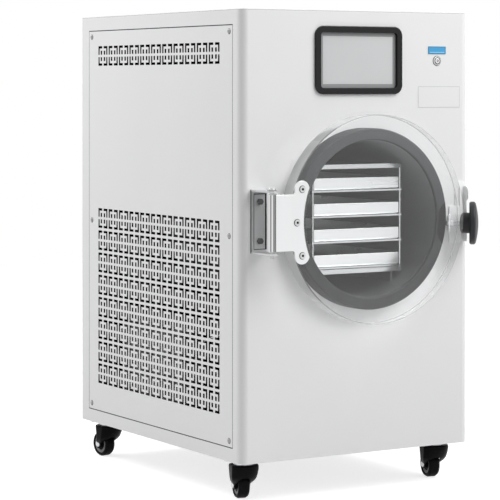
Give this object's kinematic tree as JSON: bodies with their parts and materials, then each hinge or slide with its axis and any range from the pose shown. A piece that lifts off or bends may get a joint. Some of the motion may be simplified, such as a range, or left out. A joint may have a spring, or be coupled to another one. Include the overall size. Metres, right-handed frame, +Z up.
{
  "type": "freeze dryer",
  "caption": "Upright laboratory freeze dryer on swivel casters: a white cabinet with a round clear door, a clamped vacuum chamber, heated tray rack, touch display and rear pump port.",
  "frame": {"origin": "on the floor, under the middle of the machine's overall box", "axes": "+Z up, the longest side; the door and display face -Y; +X runs from the hinge side to the clamp side, the shortest side"},
  "size_m": [0.5009, 0.7311, 0.873],
  "materials": {
    "white_paint": "satin white powder coat",
    "rear_paint": "satin pale grey powder coat",
    "zinc_screws": "zinc-plated, satin",
    "drum_steel": "matt stainless sheet",
    "foam": "closed-cell foam",
    "seal_rubber": "matt dark grey rubber",
    "black_rubber": "matt black rubber",
    "clear_acrylic": "clear polished acrylic",
    "hinge_steel": "brushed stainless",
    "black_bolts": "black oxide",
    "stud_steel": "bright plated",
    "knob_plastic": "fine-grained black plastic",
    "bezel_plastic": "semi-gloss black",
    "display_grey": "matt grey border",
    "display_glass": "pale screen under glass",
    "button_steel": "satin stainless",
    "tag_blue": "satin blue",
    "rack_steel": "bright stainless",
    "tray_steel": "bright stainless",
    "compressor_black": "gloss black enamel",
    "fin_aluminium": "mill finish",
    "fan_black": "black moulded plastic",
    "shroud_zinc": "zinc-plated sheet",
    "copper": "drawn copper",
    "pipe_steel": "satin stainless tube",
    "valve_brass": "plain brass",
    "lever_red": "dipped red lever",
    "inlet_black": "black moulded plastic",
    "caster_black": "black enamel",
    "wheel_black": "black wheel"
  },
  "bodies": {
    "cabinet": {"cabinet_shell": "white_paint", "top_cover": "white_paint", "side_panel_left": "white_paint", "side_panel_right": "white_paint", "rear_panel": "rear_paint", "base_pan": "rear_paint", "side_panel_screws": "zinc_screws", "latch_screws": "zinc_screws", "caster_bolts": "zinc_screws", "chamber_drum": "drum_steel", "chamber_insulation": "foam", "door_gasket": "seal_rubber", "latch_pad": "black_rubber", "hinge_bracket": "hinge_steel", "hinge_pin": "hinge_steel", "latch_bracket": "hinge_steel", "hinge_bolts": "black_bolts", "latch_nut": "black_bolts", "display_bezel": "bezel_plastic", "display_module": "display_grey", "display_glass": "display_glass", "button_ring": "button_steel", "name_tag": "tag_blue", "rack_frame": "rack_steel", "shelf_1": "rack_steel", "shelf_2": "rack_steel", "shelf_3": "rack_steel", "shelf_4": "rack_steel", "tray_1": "tray_steel", "tray_2": "tray_steel", "tray_3": "tray_steel", "tray_4": "tray_steel", "compressor": "compressor_black", "condenser_core": "fin_aluminium", "fan_motor": "fan_black", "fan_shroud": "shroud_zinc", "control_box": "shroud_zinc", "filter_drier": "copper", "vacuum_pipe": "pipe_steel", "vacuum_port": "pipe_steel", "drain_pipe": "pipe_steel", "drain_valve": "valve_brass", "power_inlet": "inlet_black", "caster_plates": "caster_black"},
    "door": {"door_disc": "clear_acrylic", "door_leaf": "hinge_steel", "door_leaf_screws": "hinge_steel"},
    "clamp_screw": {"latch_stud": "stud_steel"},
    "clamp_knob": {"latch_knob": "knob_plastic"},
    "button": {"power_button": "button_steel"},
    "fan": {"fan_blades": "fan_black"},
    "lever": {"drain_lever": "lever_red"},
    "swivel_front_left": {"yoke_front_left": "caster_black"},
    "roller_front_left": {"wheel_front_left": "wheel_black"},
    "swivel_rear_left": {"yoke_rear_left": "caster_black"},
    "roller_rear_left": {"wheel_rear_left": "wheel_black"},
    "swivel_front_right": {"yoke_front_right": "caster_black"},
    "roller_front_right": {"wheel_front_right": "wheel_black"},
    "swivel_rear_right": {"yoke_rear_right": "caster_black"},
    "roller_rear_right": {"wheel_rear_right": "wheel_black"}
  },
  "joints": [
    {"name": "door_hinge", "type": "hinge", "parent": "cabinet", "child": "door", "pos_m": [-0.22, -0.34945, 0.499], "axis": [0, 0, 1], "range_deg": [-115, 0]},
    {"name": "clamp_feed", "type": "slide", "parent": "cabinet", "child": "clamp_screw", "axis": [0.8, -0.6, 0], "range_m": [-0.00376, 0.00601]},
    {"name": "clamp_turn", "type": "hinge", "parent": "clamp_screw", "child": "clamp_knob", "pos_m": [0.1846, -0.30145, 0.484], "axis": [0.8, -0.6, 0], "range_deg": [-900, 1440]},
    {"name": "button_press", "type": "slide", "parent": "cabinet", "child": "button", "axis": [0, 1, 0], "range_m": [0, 0.002], "stiffness_N_per_m": 300},
    {"name": "fan_spin", "type": "hinge", "parent": "cabinet", "child": "fan", "pos_m": [-0.1627, 0.11055, 0.175], "axis": [1, 0, 0], "continuous": true},
    {"name": "drain_turn", "type": "hinge", "parent": "cabinet", "child": "lever", "pos_m": [-0.127, 0.34305, 0.203], "axis": [0, 0, 1], "range_deg": [0, 90]},
    {"name": "caster_turn_front_left", "type": "hinge", "parent": "cabinet", "child": "swivel_front_left", "pos_m": [-0.208, -0.23345, 0.073], "axis": [0, 0, 1], "continuous": true},
    {"name": "wheel_roll_front_left", "type": "hinge", "parent": "swivel_front_left", "child": "roller_front_left", "pos_m": [-0.20364, -0.21599, 0.0245], "axis": [0.9703, -0.2419, 0], "continuous": true},
    {"name": "caster_turn_rear_left", "type": "hinge", "parent": "cabinet", "child": "swivel_rear_left", "pos_m": [-0.208, 0.28955, 0.073], "axis": [0, 0, 1], "continuous": true},
    {"name": "wheel_roll_rear_left", "type": "hinge", "parent": "swivel_rear_left", "child": "roller_rear_left", "pos_m": [-0.2105, 0.30738, 0.0245], "axis": [0.9903, 0.1392, 0], "continuous": true},
    {"name": "caster_turn_front_right", "type": "hinge", "parent": "cabinet", "child": "swivel_front_right", "pos_m": [0.208, -0.23345, 0.073], "axis": [0, 0, 1], "continuous": true},
    {"name": "wheel_roll_front_right", "type": "hinge", "parent": "swivel_front_right", "child": "roller_front_right", "pos_m": [0.21174, -0.21584, 0.0245], "axis": [0.9781, -0.2079, 0], "continuous": true},
    {"name": "caster_turn_rear_right", "type": "hinge", "parent": "cabinet", "child": "swivel_rear_right", "pos_m": [0.208, 0.28955, 0.073], "axis": [0, 0, 1], "continuous": true},
    {"name": "wheel_roll_rear_right", "type": "hinge", "parent": "swivel_rear_right", "child": "roller_rear_right", "pos_m": [0.20674, 0.30751, 0.0245], "axis": [0.9976, 0.0698, 0], "continuous": true}
  ],
  "couplings": [
    {"joint": "clamp_feed", "follows": "clamp_turn", "m_per_rad": 0.00023873}
  ]
}
